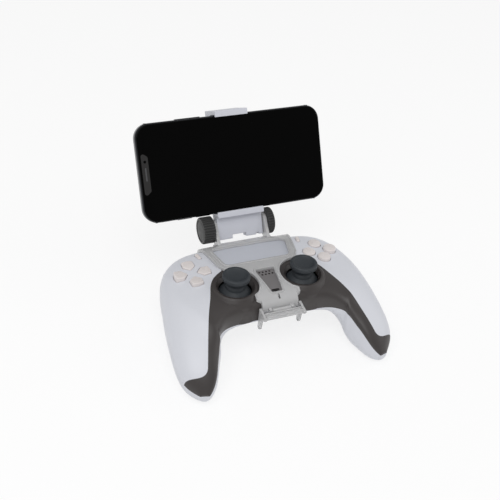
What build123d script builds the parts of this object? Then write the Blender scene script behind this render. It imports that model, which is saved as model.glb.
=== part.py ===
from build123d import *
import math
import os

os.makedirs("parts", exist_ok=True)

# Hand-held game controller with a clip-on phone holder and its phone.
# Millimetres. The model is drawn in the frame of the controller's face
# (x to the right, y away from the player, z up from the face) and every
# piece is turned by the rest angle when it is written, so that the grip
# tips and the trigger tips stand on z = 0.

# Driving dimensions
REST_ANGLE = 4.6          # slope of the floor against the face, degrees
REST_Y = -26.1
REST_Z = 43.62
WALL = 2.2                # shell walls
KEY_GAP = 0.30            # round a key in its hole

STICK_X = 25.8
STICK_Y = -0.5
PIVOT_Z = -12.5
CAP_TOP = 10.3
CAP_R = 9.8
DOME_R = 14.0
DOME_WALL = 1.2
SHAFT_R = 1.8
PIN_R = 1.0
RUN_FIT = 0.05
MODULE = 14.0

PAD_X = 49.8
PAD_Y = 21.0
FACE_PITCH = 8.4
FACE_R = 4.75
FACE_TOP = 2.5
KEY_TOP = 2.2
KEY_FOOT = -6.0
KEY_TRAVEL = 1.0

TOUCH_REAR_X = 31.6
TOUCH_REAR_Y = 43.6
TOUCH_FRONT_X = 26.4
TOUCH_FRONT_Y = 17.6
LIGHT_W = 1.9

FRAME_T = 1.8             # clear frame over the face
FRAME_GAP = 0.15
ARM_X = 18.5
ARM_T = 2.4
KNOB_Y = 59.2
KNOB_Z = 7.7
KNOB_R = 10.0
BOLT_R = 2.0

PHONE_W = 143.6
PHONE_H = 70.9
PHONE_T = 7.7
PHONE_R = 10.8
PHONE_X = -0.8
PHONE_Y = 77.5
PHONE_Z = 51.2
PHONE_TILT = 63.7         # degrees from the face up to the screen
JAW_GAP = 0.2

REST = Location((0, REST_Y, REST_Z), (-REST_ANGLE, 0, 0))

# Body sections: inner point x y, outer point x y, seam heights at both,
# top heights at both, bottom depths at both, roundness of top and bottom,
# inward swell of the bottom.
ROWS = [
    (0, -20.3, 0, 48.5, -17.2, -13, 16.4, 15.8, 3.5, 20, 5.0, 3.2, 0),
    (17, -20.2, 17, 48.5, -17.2, -13, 16.4, 15.8, 3.5, 20, 5.0, 3.2, 0),
    (34, -21.2, 36, 48.2, -17.2, -13, 16.2, 15.6, 5, 22, 4.6, 3.0, 0.02),
    (42, -24, 55, 44.5, -17.0, -13, 15.2, 14.8, 9.5, 25, 4.0, 2.8, 0.05),
    (46, -27.5, 67, 35, -16.8, -14, 13.8, 14, 15.5, 27, 3.2, 2.6, 0.10),
    (48, -31, 73.6, 19, -17.0, -15, 12.5, 13.6, 21.5, 26, 2.6, 2.5, 0.15),
    (49.5, -35, 77.3, 0, -18.5, -18, 10.5, 13, 25.5, 24, 2.4, 2.4, 0.17),
    (51.5, -39.5, 79.6, -17.5, -21.5, -23.5, 9.0, 12, 25, 20, 2.3, 2.4, 0.17),
    (54, -45, 80.6, -33, -25, -29.5, 7.7, 10.6, 22.5, 16.5, 2.3, 2.3, 0.17),
    (57, -51.5, 79.2, -45, -30, -34.5, 6.4, 8, 17.5, 12.5, 2.3, 2.3, 0.15),
    (60.6, -56.4, 75.5, -51.5, -35, -37.5, 4.6, 5, 11.5, 8.5, 2.2, 2.2, 0.1),
    (64.5, -59.2, 70.5, -57.2, -38.5, -39, 1.5, 1.5, 4.5, 4, 2.2, 2.2, 0.05),
]


SPREAD = [0, 0.008, 0.035, 0.09, 0.19, 0.34, 0.5, 0.66, 0.81, 0.91, 0.965, 0.992, 1]


def grow(row, d):
    # the same section with every side moved out by d, its seam kept on one slope
    ax, ay, bx, by, za, zb, ta, tb, da, db, nt, nb, g = row
    length = math.hypot(bx - ax, by - ay)
    ux = (bx - ax) / length
    uy = (by - ay) / length
    slope = (zb - za) / length
    ax = ax - ux * d
    ay = ay - uy * d
    bx = bx + ux * d
    by = by + uy * d
    za = za - slope * d
    zb = zb + slope * d
    return (ax, ay, bx, by, za, zb, ta + d, tb + d, da + d, db + d, nt, nb, g)


def deepen(row, top, depth):
    # the half section carried on past its seam by depth
    ax, ay, bx, by, za, zb, ta, tb, da, db, nt, nb, g = row
    if top:
        return (ax, ay, bx, by, za - depth, zb - depth, ta + depth, tb + depth, da, db, nt, nb, g)
    return (ax, ay, bx, by, za + depth, zb + depth, ta, tb, da + depth, db + depth, nt, nb, g)


def half_points(row, side, top):
    ax, ay, bx, by, za, zb, ta, tb, da, db, nt, nb, g = row
    power = nt if top else nb
    points = []
    for spot in SPREAD:
        f = spot
        rise = max(0.0, 1 - abs(2 * f - 1) ** power) ** (1 / power)
        if top:
            z = za * (1 - f) + zb * f + (ta * (1 - f) + tb * f) * rise
        else:
            f = f - g * rise ** (power / 2) * (1 - f)
            z = za * (1 - f) + zb * f - (da * (1 - f) + db * f) * rise
        points.append((side * (ax + (bx - ax) * f), ay + (by - ay) * f, z))
    return points


def travel(rows, top):
    # one even spacing of the points along the curve for all sections
    total = [0.0] * len(SPREAD)
    for row in rows:
        p = half_points(row, 1, top)
        run = [0.0]
        for i in range(1, len(p)):
            run.append(run[-1] + math.dist(p[i], p[i - 1]))
        for i in range(len(p)):
            total[i] = total[i] + run[i] / run[-1] / len(rows)
    return total


def loft_half(rows, top):
    spacing = travel(rows, top)
    wires = []
    for side, part in ((-1, rows[::-1]), (1, rows[1:])):
        for row in part:
            p = half_points(row, side, top)
            curve = Edge.make_spline([Vector(*q) for q in p], parameters=spacing)
            wires.append(Wire([curve, Line(p[-1], p[0])]))
    return Solid.make_loft(wires)


def box(x0, x1, y0, y1, z0, z1):
    return Pos((x0 + x1) / 2, (y0 + y1) / 2, (z0 + z1) / 2) * Box(x1 - x0, y1 - y0, z1 - z0)


def both(shape):
    return shape + mirror(shape, about=Plane.YZ)


def cyl_x(x0, x1, y, z, r):
    return Pos((x0 + x1) / 2, y, z) * Rot(0, 90, 0) * Cylinder(r, abs(x1 - x0))


def cyl_y(x, y0, y1, z, r):
    return Pos(x, (y0 + y1) / 2, z) * Rot(90, 0, 0) * Cylinder(r, abs(y1 - y0))


def cyl_z(x, y, z0, z1, r):
    return Pos(x, y, (z0 + z1) / 2) * Cylinder(r, z1 - z0)


def chain(points, z):
    # straight edges through plan points at one height
    return [Line((a[0], a[1], z), (b[0], b[1], z)) for a, b in zip(points, points[1:])]


def turned(points):
    # ring or disc round the z axis from (radius, height) points
    wire = Polyline(*[(r, 0, z) for r, z in points], close=True)
    return revolve(make_face(wire), Axis.Z)


pieces = {}


def keep(name, shape):
    pieces[name] = shape


# Outer body and its cavity
upper = loft_half(ROWS, True)
lower = loft_half(ROWS, False)
hollow_rows = [grow(row, -WALL) for row in ROWS[:10]]
hollow_top = loft_half([deepen(row, True, 0.5) for row in hollow_rows], True)
hollow_low = loft_half([deepen(row, False, 0.5) for row in hollow_rows], False)

lobe_outer = [(0, -17.1), (20.9, -17.1), (20.2, -11), (18.9, -5.5), (17.4, -2)]
lobe_outer += [(16.0, 0), (14.9, 0.65), (13.8, 0.65), (0, 0.65)]
lobe_inner = [(0, -18), (18.6, -18), (18.1, -11), (16.9, -5.5), (15.6, -3), (0, -3)]
dish = [(11.6, -2.4), (13.4, 0.1), (14.2, 0.65), (15.0, 0.5), (16.0, -0.4)]
dish += [(16.2, -3.1), (13.2, -3.4), (12.2, -4.0)]

lobe_solid = turned(lobe_outer)
lobe_hollow = turned(lobe_inner)
dish_ring = turned(dish)


def at_stick(shape, side):
    return Pos(side * STICK_X, STICK_Y, 0) * shape


# Plan outlines that split the top skin
def touch_plan(extra):
    rear = TOUCH_REAR_X + extra
    front = TOUCH_FRONT_X + extra
    y0 = TOUCH_FRONT_Y - extra
    y1 = TOUCH_REAR_Y + extra
    face = make_face(Polyline((-front, y0), (front, y0), (rear, y1), (-rear, y1), close=True))
    face = fillet(face.vertices(), 4.5)
    return Pos(0, 0, -12) * extrude(face, 30)


edge = [(28, 18.5), (31, 16.6), (36.8, 12.4), (41.8, 5.6), (45.6, -4)]
edge += [(50, -14), (55.1, -26.7), (59.6, -39.5), (62.4, -47.6)]
wing_line = Spline(*[(x, y, -60) for x, y in edge])
wing_curve = [wing_line]
wing_curve.append(Spline((62.4, -47.6, -60), (64.6, -50.6, -60), (69, -50.9, -60), (88, -46.5, -60)))
wing_curve += chain([(88, -46.5), (95, -46.5), (95, 60), (33, 60), (33, 46), (28, 18.5)], -60)
wing = extrude(make_face(Wire(wing_curve)), 80)
wings = both(wing) + box(-40, 40, 42, 60, -60, 20)

outer_top = upper
for side in (-1, 1):
    outer_top = outer_top + (at_stick(lobe_solid, side) - lower)
skin = outer_top - hollow_top - hollow_low
for side in (-1, 1):
    skin = skin - at_stick(lobe_hollow, side)
    skin = skin - at_stick(cyl_z(0, 0, -5, 3, 13.6), side)

touch_cut = touch_plan(0.25)
light_cut = touch_plan(0.35 + LIGHT_W)
touchpad = skin & touch_plan(0)
light = (skin & touch_plan(0.25 + LIGHT_W)) - touch_cut
light = light & box(-40, 40, 22, 41.5, -20, 20)
keep("touchpad", touchpad)
keep("light_strips", light)

front_shell = (skin & wings) - light_cut
trim = (skin - wings) - light_cut
for side in (-1, 1):
    trim = trim + at_stick(dish_ring, side)

# Keys on the wings
face_spots = []
for i in range(4):
    a = math.radians(90 * i)
    face_spots.append((PAD_X + FACE_PITCH * math.cos(a), PAD_Y + FACE_PITCH * math.sin(a)))
face_names = ["button_right", "button_rear", "button_left", "button_front"]
for name, (x, y) in zip(face_names, face_spots):
    cap = cyl_z(x, y, KEY_FOOT, FACE_TOP, FACE_R)
    cap = fillet(cap.edges().group_by(Axis.Z)[-1], 0.9)
    flange = cyl_z(x, y, KEY_FOOT - 0.9, KEY_FOOT, FACE_R + 0.9)
    keep(name, cap + flange)
    front_shell = front_shell - cyl_z(x, y, -5.5, 6, FACE_R + KEY_GAP)

petal = [(3.4, 0), (7.4, 4.5), (12.8, 4.1), (13.4, 0), (12.8, -4.1), (7.4, -4.5)]


def petal_solid(extra, z0, z1):
    face = make_face(Polyline(*[(x, y) for x, y in petal], close=True))
    face = fillet(face.vertices(), 1.1)
    if extra:
        face = offset(face, extra)
    return Pos(0, 0, z0) * extrude(face, z1 - z0)


pad_names = ["pad_right", "pad_rear", "pad_left", "pad_front"]
petal_key = petal_solid(0, KEY_FOOT, KEY_TOP)
petal_key = fillet(petal_key.edges().group_by(Axis.Z)[-1], 0.7)
petal_key = petal_key + petal_solid(0.5, KEY_FOOT - 0.9, KEY_FOOT)
petal_hole = petal_solid(KEY_GAP, -5.5, 6)
for i, name in enumerate(pad_names):
    spot = Pos(-PAD_X, PAD_Y, 0) * Rot(0, 0, 90 * i)
    keep(name, spot * petal_key)
    front_shell = front_shell - spot * petal_hole


def pill(x, y, angle, length, width, z0, z1):
    face = Rot(0, 0, angle) * SlotOverall(length, width)
    return Pos(x, y, z0) * extrude(face, z1 - z0)


SMALL_X = 39.6
SMALL_Y = 37.5
SMALL_TOP = 2.3
for side, name in ((-1, "small_button_left"), (1, "small_button_right")):
    turn = 90 - side * 12
    stem = pill(side * SMALL_X, SMALL_Y, turn, 6.4, 2.6, KEY_FOOT, SMALL_TOP)
    foot = pill(side * SMALL_X, SMALL_Y, turn, 8.0, 4.2, KEY_FOOT - 0.9, KEY_FOOT)
    keep(name, stem + foot)
    front_shell = front_shell - pill(side * SMALL_X, SMALL_Y, turn, 7.0, 3.2, -5.5, 6)

# Bumpers: cut out of the rear edge of the skin, each slides forward
BUMP_X0 = 41.0
BUMP_X1 = 62.0
bump_zone = box(BUMP_X0 + 0.35, BUMP_X1 - 0.35, 32, 60, -11.6, -4.4)
bump_hole = box(BUMP_X0, BUMP_X1, 30, 60, -12.0, -4.0)
bump_skin = (upper & bump_zone) - loft_half([grow(row, -3.2) for row in ROWS[:10]], True)
front_shell = front_shell - both(bump_hole)
keep("bumper_right", bump_skin)
keep("bumper_left", mirror(bump_skin, about=Plane.YZ))

# Posts under the wings that carry the key boards
KEY_BOARD = -10.2
for dx, dy in ((-10, 10), (8, -9.5)):
    front_shell = front_shell + both(upper & cyl_z(PAD_X + dx, PAD_Y + dy, KEY_BOARD, 6, 1.6))

# Holes of the trim: speaker holes and the mute key
for i in range(4):
    trim = trim - cyl_z(-4.2 + 2.6 * i, 8.0, -6, 6, 0.75)
    trim = trim - cyl_z(-2.9 + 2.6 * i, 5.4, -6, 6, 0.75)
MUTE_Y = -11.2
keep("mute_button", pill(0, MUTE_Y, 0, 5.6, 1.5, -6.2, -0.9) + pill(0, MUTE_Y, 0, 7.0, 2.8, -7.0, -6.2))
trim = trim - pill(0, MUTE_Y, 0, 6.1, 2.0, -5.9, 4)

# Back shell with the trigger wells, port, audio jack and screw posts
TRIG_X0 = 44.5
TRIG_X1 = 62.0
TRIG_PIVOT_Y = 33.0
TRIG_PIVOT_Z = -17.5
TRIG_PIN_R = 1.25
back_shell = lower - hollow_low - hollow_top
well_out = both(box(TRIG_X0 - 1.4, TRIG_X1 + 1.4, 26.6, 60, -60, -13.1))
well_in = both(box(TRIG_X0, TRIG_X1, 28, 60, -60, -14.3))
back_shell = back_shell + (lower & well_out) - well_in
back_shell = back_shell - both(cyl_x(TRIG_X0 - 1.5, TRIG_X1 + 1.5, TRIG_PIVOT_Y, TRIG_PIVOT_Z, TRIG_PIN_R))
pins = both(cyl_x(TRIG_X0 - 1.4, TRIG_X1 + 1.4, TRIG_PIVOT_Y, TRIG_PIVOT_Z, TRIG_PIN_R))
keep("trigger_pins", pins)

trig_edge = [(29.4, -17.5), (31.5, -15.0), (36, -14.7), (46.3, -14.7)]
trig_back = Spline((46.3, -14.7), (50.3, -19.5), (51.6, -27), (52.6, -33), (53.6, -37.0))
trig_tip = Spline((53.6, -37.0), (52.7, -39.3), (50.4, -39.0))
trig_front = Spline((50.4, -39.0), (47.2, -32), (44.0, -25.5), (37.0, -20.9), (32, -20.6), (29.4, -17.5))
trig_wire = Wire(chain(trig_edge, 0) + [trig_back, trig_tip, trig_front])
trig_plane = Plane(origin=(TRIG_X0 + 0.5, 0, 0), x_dir=(0, 1, 0), z_dir=(1, 0, 0))
trigger = extrude(trig_plane * make_face(trig_wire), TRIG_X1 - TRIG_X0 - 1.0)
trigger = trigger - cyl_x(40, 66, TRIG_PIVOT_Y, TRIG_PIVOT_Z, TRIG_PIN_R + RUN_FIT)
keep("trigger_right", trigger)
keep("trigger_left", mirror(trigger, about=Plane.YZ))

PORT_Z = -12.6
JACK_Z = -12.2
JACK_R = 1.78
port_hole = box(-4.8, 4.8, 40, 60, PORT_Z - 1.9, PORT_Z + 1.9)
front_shell = front_shell - port_hole
back_shell = back_shell - port_hole
port_shell = box(-4.5, 4.5, 40.9, 48.3, PORT_Z - 1.6, PORT_Z + 1.6)
port_shell = port_shell - box(-4.1, 4.1, 42, 50, PORT_Z - 1.2, PORT_Z + 1.2)
port_tongue = box(-3.3, 3.3, 41.5, 47.6, PORT_Z - 0.35, PORT_Z + 0.35)
keep("charging_port", port_shell + port_tongue)
trim = trim - cyl_y(0, -30, -10, JACK_Z, 3.3)
jack = cyl_y(0, -20.4, -17.6, JACK_Z, 3.1) + box(-3.4, 3.4, -17.6, -5.6, JACK_Z - 3.4, JACK_Z + 3.4)
jack = jack - cyl_y(0, -22, -6.6, JACK_Z, JACK_R)
keep("audio_jack", jack)

MOTOR_X = 62.0
MOTOR_Z = -27.5
MOTOR_R = 8.5
saddle = both(box(MOTOR_X - 5, MOTOR_X + 5, -17, -9, -60, MOTOR_Z - 5) & lower)
back_shell = back_shell + saddle - both(cyl_y(MOTOR_X, -18, -8, MOTOR_Z, MOTOR_R + 0.15))

# Screw posts: x, y, underside of the screw head, end of the screw
POSTS = [(-66, 4, -34, -11.5), (66, 4, -34, -11.5), (-62, -38, -38, -19.5), (62, -38, -38, -19.5)]
POST_R = 3.2
SCREW_R = 1.0
HEAD_R = 2.1
post_set = None
screws = None
wells = None
for x, y, head, tip in POSTS:
    post = cyl_z(x, y, -60, 10, POST_R + 1.2)
    screw = cyl_z(x, y, head, tip, SCREW_R) + cyl_z(x, y, head - 1.4, head, HEAD_R)
    well = cyl_z(x, y, -60, head, HEAD_R + 0.3)
    post_set = post if post_set is None else post_set + post
    screws = screw if screws is None else screws + screw
    wells = well if wells is None else wells + well
back_shell = back_shell + (lower & post_set) - screws - wells
front_shell = front_shell + (upper & post_set & wings) - screws
keep("shell_screws", screws)

keep("front_shell", front_shell)
keep("centre_trim", trim)
keep("back_shell", back_shell)

# Sticks
cap_profile = [(0, 8.5), (4.0, 8.6), (7.2, 9.5), (7.9, CAP_TOP), (9.0, CAP_TOP), (CAP_R, 9.5)]
cap_profile += [(CAP_R, 7.3), (9.0, 6.2), (6.9, 5.3), (6.1, 4.0), (6.0, 2.6), (6.6, 1.4)]
dome_out = []
dome_in = []
for i in range(9):
    a = math.radians(29 + i * 4.1)
    dome_out.append((DOME_R * math.sin(a), PIVOT_Z + DOME_R * math.cos(a)))
    r_in = DOME_R - DOME_WALL
    dome_in.append((r_in * math.sin(a), PIVOT_Z + r_in * math.cos(a)))
cap_profile += dome_out
cap_profile += dome_in[::-1]
cap_profile += [(5.2, -0.9), (2.9, -1.0), (2.9, -2.4), (SHAFT_R + RUN_FIT, -2.4), (SHAFT_R + RUN_FIT, 6.0), (0, 6.0)]
cap_solid = turned(cap_profile)
half = MODULE / 2
module = box(-half, half, -half, half, -17.4, -8.6) - box(-half + 1.2, half - 1.2, -half + 1.2, half - 1.2, -16.6, -9.6)
module = module - cyl_z(0, 0, -10, -8, 4.6) - cyl_x(-half - 1, half + 1, 0, PIVOT_Z, PIN_R + RUN_FIT)
bail = box(-5.1, 5.1, -4.7, 4.7, PIVOT_Z - 1.6, PIVOT_Z + 1.6) - box(-3.6, 3.6, -3.2, 3.2, -20, 0)
bail = bail + cyl_x(-6.9, -4.9, 0, PIVOT_Z, PIN_R) + cyl_x(4.9, 6.9, 0, PIVOT_Z, PIN_R)
bail = bail - cyl_y(0, -6, 6, PIVOT_Z, PIN_R + RUN_FIT)
shaft = cyl_z(0, 0, PIVOT_Z, 5.2, SHAFT_R) + Pos(0, 0, PIVOT_Z) * Sphere(2.6)
shaft = shaft + cyl_y(0, -4.6, 4.6, PIVOT_Z, PIN_R)
modules = None
for side, word in ((-1, "left"), (1, "right")):
    keep("stick_cap_" + word, at_stick(cap_solid, side))
    keep("stick_shaft_" + word, at_stick(shaft, side))
    keep("stick_bail_" + word, at_stick(bail, side))
keep("stick_modules", at_stick(module, -1) + at_stick(module, 1))

# Board, battery, speaker and motors
board = box(-36, 36, -6.0, 36, -18.5, -17.4)
keep("main_board", board)
tray = box(-24, 24, 13, 38.5, -17.4, -9.5) - box(-22.8, 22.8, 14.2, 37.3, -16.4, -9)
keep("battery_tray", tray)
keep("battery", box(-22.6, 22.6, 14.4, 37.1, -16.4, -9.9))
SPEAKER_TOP = -3.1
speaker = cyl_z(0, 4.5, SPEAKER_TOP - 5, SPEAKER_TOP, 7.2)
speaker = speaker + box(-2.5, 2.5, -4.4, 0, SPEAKER_TOP - 5, SPEAKER_TOP - 3.8)
keep("speaker", speaker)
small_boards = both(box(PAD_X - 13.5, PAD_X + 11, PAD_Y - 13.5, PAD_Y + 13.5, KEY_BOARD - 1.2, KEY_BOARD))
keep("key_boards", small_boards)
rubbers = None
for i in range(4):
    a = math.radians(90 * i)
    rx = FACE_PITCH * math.cos(a)
    ry = FACE_PITCH * math.sin(a)
    for side in (-1, 1):
        rubber = Pos(side * PAD_X + rx, PAD_Y + ry, -9.15) * Cone(3.2, 2.0, 2.1)
        rubbers = rubber if rubbers is None else rubbers + rubber
keep("key_rubbers", rubbers)

motors = both(cyl_y(MOTOR_X, -20, -6, MOTOR_Z, MOTOR_R) + cyl_y(MOTOR_X, -20.6, -20, MOTOR_Z, 3.0))
motors = motors - both(cyl_y(MOTOR_X, -21, -12, MOTOR_Z, PIN_R + RUN_FIT))
keep("rumble_motors", motors)
for side, word in ((-1, "left"), (1, "right")):
    weight = cyl_y(side * MOTOR_X, -27, -21.2, MOTOR_Z, 6.5) - box(side * MOTOR_X - 10, side * MOTOR_X + 10, -30, -20, MOTOR_Z + 1.8, 0)
    weight = weight + cyl_y(side * MOTOR_X, -27, -12.5, MOTOR_Z, PIN_R)
    keep("rumble_weight_" + word, weight)

# Phone holder: clear frame over the face
band_out = loft_half([grow(row, FRAME_GAP + FRAME_T) for row in ROWS], True)
band_in = loft_half([grow(row, FRAME_GAP) for row in ROWS], True)
well_r = 16.6


def on_well(deg):
    a = math.radians(deg)
    return (STICK_X + well_r * math.cos(a), STICK_Y + well_r * math.sin(a))


side_line = [(35.6, 47.0), (31.4, 22.5)]
p1 = on_well(84)
p2 = on_well(150)
p3 = on_well(222)
right_edges = [
    Line((0, 60), (35.6, 60)),
    Line((35.6, 60), (35.6, 46.0)),
    Line((35.6, 46.0), (31.4, 22.5)),
    Line((31.4, 22.5), p1),
    ThreePointArc(p1, p2, p3),
    Line(p3, (16.9, -13.6)),
    Line((16.9, -13.6), (16.5, -17.0)),
    Line((16.5, -17.0), (13.6, -18.4)),
    Line((13.6, -18.4), (13.6, -30)),
    Line((13.6, -30), (0, -30)),
    Line((0, -30), (0, 60)),
]
plan_right = Pos(0, 0, -9.4) * extrude(make_face(Wire(right_edges)), 30)
plan = both(plan_right)
window = make_face(Polyline((-24.9, 20.1), (24.9, 20.1), (29.4, 40.9), (-29.4, 40.9), close=True))
window = Pos(0, 0, -12) * extrude(fillet(window.vertices(), 4.5), 30)
slot = make_face(Polyline((-4.1, -14.2), (4.1, -14.2), (7.5, 10.0), (-7.5, 10.0), close=True))
slot = Pos(0, 0, -12) * extrude(fillet(slot.vertices(), 1.4), 30)
lobe_clear = turned([(r + 0.2 if r else 0, z + (0.2 if z > -17 else 0)) for r, z in lobe_outer])
frame = (band_out & plan) - band_in - both(at_stick(lobe_clear, 1)) - window - slot - pill(0, -17.6, 90, 3.6, 1.4, -12, 6)
arm_edges = [
    Line((45.2, 0.2), (46.0, -3.2)),
    Line((46.0, -3.2), (50.6, -3.0)),
    Line((50.6, -3.0), (63.6, 2.6)),
    ThreePointArc((63.6, 2.6), (64.6, 11.9), (55.4, 12.8)),
    Line((55.4, 12.8), (45.2, 0.2)),
]
arm_plane = Plane(origin=(ARM_X, 0, 0), x_dir=(0, 1, 0), z_dir=(1, 0, 0))
arm = extrude(arm_plane * make_face(Wire(arm_edges)), ARM_T)
arm = arm - cyl_x(ARM_X - 1, ARM_X + ARM_T + 1, KNOB_Y, KNOB_Z, BOLT_R + RUN_FIT)
arm = arm - box(ARM_X - 1, ARM_X + ARM_T + 1, 40, 48.7, -10, 0.0)
frame = frame + both(arm) + (box(-23, 23, 46.2, 50.6, -3.1, -0.2) - band_in)
PIN_Y = -23.9
PIN_Z = -7.9
PIN_BUCKLE = 0.6
lug = box(7.2, 9.4, -24.8, -21.2, -9.0, -6.8) - cyl_x(6, 11, PIN_Y, PIN_Z, PIN_BUCKLE)
lug = lug - band_in
frame = frame + both(lug)
keep("clamp_frame", frame)
keep("buckle_pin", cyl_x(-15.4, 15.4, PIN_Y, PIN_Z, PIN_BUCKLE))

# Buckle: ribbed plate with two side cheeks that end in rings by the body's lower edge
buckle = box(-14.0, 14.0, -30.6, -25.3, -9.9, -8.5)
buckle = buckle + box(-13.9, 13.9, -26.8, -25.6, -8.6, -7.4) + box(-13.9, 13.9, -30.0, -28.8, -8.6, -7.4)
buckle = buckle + box(-6.9, 6.9, -25.6, PIN_Y, -9.2, -8.0) + cyl_x(-6.9, 6.9, PIN_Y, PIN_Z, 1.3)
cheek_edges = [
    Line((-20.7, -6.4), (-31.0, -8.3)),
    Line((-31.0, -8.3), (-31.0, -10.2)),
    Line((-31.0, -10.2), (-25.4, -13.5)),
    Line((-25.4, -13.5), (-24.4, -21.4)),
    ThreePointArc((-24.4, -21.4), (-22.5, -23.2), (-20.7, -21.4)),
    Line((-20.7, -21.4), (-20.7, -6.4)),
]
cheek_plane = Plane(origin=(13.9, 0, 0), x_dir=(0, 1, 0), z_dir=(1, 0, 0))
cheek = extrude(cheek_plane * make_face(Wire(cheek_edges)), 1.9)
cheek = cheek - cyl_x(13, 17, -22.5, -21.3, 0.9)
buckle = (buckle + both(cheek)) - cyl_x(-20, 20, PIN_Y, PIN_Z, PIN_BUCKLE + RUN_FIT)
keep("frame_buckle", buckle)

# Cradle, drawn in the frame of the phone: x along it, u up it, n out of the screen
HOLD = Location((0, PHONE_Y, PHONE_Z), (PHONE_TILT, 0, 0))


def hold_box(x0, x1, u0, u1, n0, n1):
    return box(x0, x1, u0, u1, n0, n1)


low = -PHONE_H / 2
back = -PHONE_T / 2
AXIS_U = -47.1
AXIS_N = -2.9
cradle = hold_box(-18.2, 18.2, low - 3.4, low - JAW_GAP, -6.6, 6.1)
cradle = cradle + hold_box(-18.2, 18.2, low - 3.4, low + 1.2, -back + JAW_GAP, 6.1)
cradle = cradle + hold_box(-17.9, 17.9, low - 20.4, low - 3.3, -6.6, 0.6)
cradle = cradle - hold_box(-6.5, 4.5, low - 21, low - 17.6, -8, 2) - hold_box(12.6, 14.6, low - 21, low - 18.8, -8, 2)
cradle = cradle + hold_box(-15, 15, low - 9, 12, -15.6, back - 0.9)
cradle = cradle - hold_box(-13.2, 13.2, low + 2, 14, -13.4, back - 2.9)
cradle = cradle - cyl_x(-19, 19, AXIS_U, AXIS_N, BOLT_R + RUN_FIT)
keep("cradle", HOLD * cradle)
pads = hold_box(-13.5, 13.5, -25, 10, back - 0.9, back - JAW_GAP)
keep("cradle_pad", HOLD * pads)

up = PHONE_H / 2
jaw = hold_box(-12.6, 12.6, up + JAW_GAP, up + 3.2, -15.4, 5.9)
jaw = jaw + hold_box(-12.6, 12.6, up - 1.1, up + 1, -back + JAW_GAP, 5.9)
jaw = jaw + hold_box(-12.6, 12.6, 16.5, up + 1, -15.4, back - 2.0)
jaw = jaw + hold_box(-7.4, 7.4, -12, 17, -12.8, back - 3.4)
jaw = jaw + hold_box(-12.4, 12.4, -14.5, -11.5, -12.8, back - 3.4)
keep("top_jaw", HOLD * jaw)

SPRING_R = 1.8
SPRING_WIRE = 0.35


def coil(x):
    path = Helix(pitch=1.6, height=17.6, radius=SPRING_R)
    start = Plane(origin=path @ 0, z_dir=path % 0)
    wire = sweep(start * Circle(SPRING_WIRE), path=path)
    return Pos(x, -32.4, -9.6) * Rot(-90, 0, 0) * wire


keep("jaw_springs", HOLD * (coil(-9.6) + coil(9.6)))

# Knobs and their bolts
RIBS = 30


def knob(x0, x1):
    ring = []
    for i in range(RIBS):
        for part, r in ((0.0, 0), (0.22, 0), (0.5, 0.75), (0.72, 0.75)):
            a = 2 * math.pi * (i + part) / RIBS
            ring.append((KNOB_Y + (KNOB_R - r) * math.cos(a), KNOB_Z + (KNOB_R - r) * math.sin(a)))
    side = Plane(origin=(x0, 0, 0), x_dir=(0, 1, 0), z_dir=(1, 0, 0))
    return extrude(side * make_face(Polyline(*ring, close=True)), x1 - x0)


def bolt_bore(shape, x0, x1):
    return shape - cyl_x(x0, x1, KNOB_Y, KNOB_Z, BOLT_R)


knob_left = bolt_bore(knob(-30.2, -ARM_X - ARM_T - 0.3), -28.2, -15)
knob_right = bolt_bore(knob(ARM_X + ARM_T + 0.3, 26.2), 15, 24.6)
keep("knob_left", knob_left)
keep("knob_right", knob_right)
keep("bolt_left", cyl_x(-28.2, -10, KNOB_Y, KNOB_Z, BOLT_R))
keep("bolt_right", cyl_x(10, 24.6, KNOB_Y, KNOB_Z, BOLT_R))

# Phone
def plate(w, h, r, n0, n1):
    return Pos(0, 0, n0) * extrude(RectangleRounded(w, h, r), n1 - n0)


PHONE = HOLD * Pos(PHONE_X, 0, 0)
GLASS = 0.9
body = plate(PHONE_W, PHONE_H, PHONE_R, back + GLASS, -back - GLASS)
body = fillet(body.edges().group_by(Axis.Z)[0], 1.2)
body = fillet(body.edges().group_by(Axis.Z)[-1], 1.2)
body = body - hold_box(-PHONE_W / 2 + 12.6, -PHONE_W / 2 + 20.4, low - 1, low + 1.2, -1.7, 1.7)
body = body - hold_box(-PHONE_W / 2 + 24.6, -PHONE_W / 2 + 36.4, low - 1, low + 1.2, -1.3, 1.3)
body = body - hold_box(-PHONE_W / 2 + 38.6, -PHONE_W / 2 + 50.4, low - 1, low + 1.2, -1.3, 1.3)
body = body - hold_box(-PHONE_W / 2 + 30.6, -PHONE_W / 2 + 50.4, up - 1.2, up + 1, -1.3, 1.3)
body = body - hold_box(PHONE_W / 2 - 8, PHONE_W / 2 + 1, -4.4, 4.4, -1.4, 1.4)
keep("phone_body", PHONE * body)
glass = plate(PHONE_W - 1.6, PHONE_H - 1.6, PHONE_R - 0.8, -back - GLASS, -back)
glass = fillet(glass.edges().group_by(Axis.Z)[-1], 0.6)
keep("phone_glass", PHONE * glass)
cover = plate(PHONE_W - 1.6, PHONE_H - 1.6, PHONE_R - 0.8, back, back + GLASS)
cover = fillet(cover.edges().group_by(Axis.Z)[0], 0.6)
keep("phone_back", PHONE * cover)
bump = Pos(-PHONE_W / 2 + 17, up - 10, back - 1.4) * extrude(SlotOverall(22, 11), 1.4)
bump = bump + Pos(-PHONE_W / 2 + 11.5, up - 10, back - 1.9) * Cylinder(4.2, 1.0)
bump = bump + Pos(-PHONE_W / 2 + 22.5, up - 10, back - 1.9) * Cylinder(4.2, 1.0)
keep("phone_cameras", PHONE * bump)


def side_key(x0, x1, u0, u1, n):
    return PHONE * hold_box(x0, x1, u0, u1, -n, n)


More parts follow.
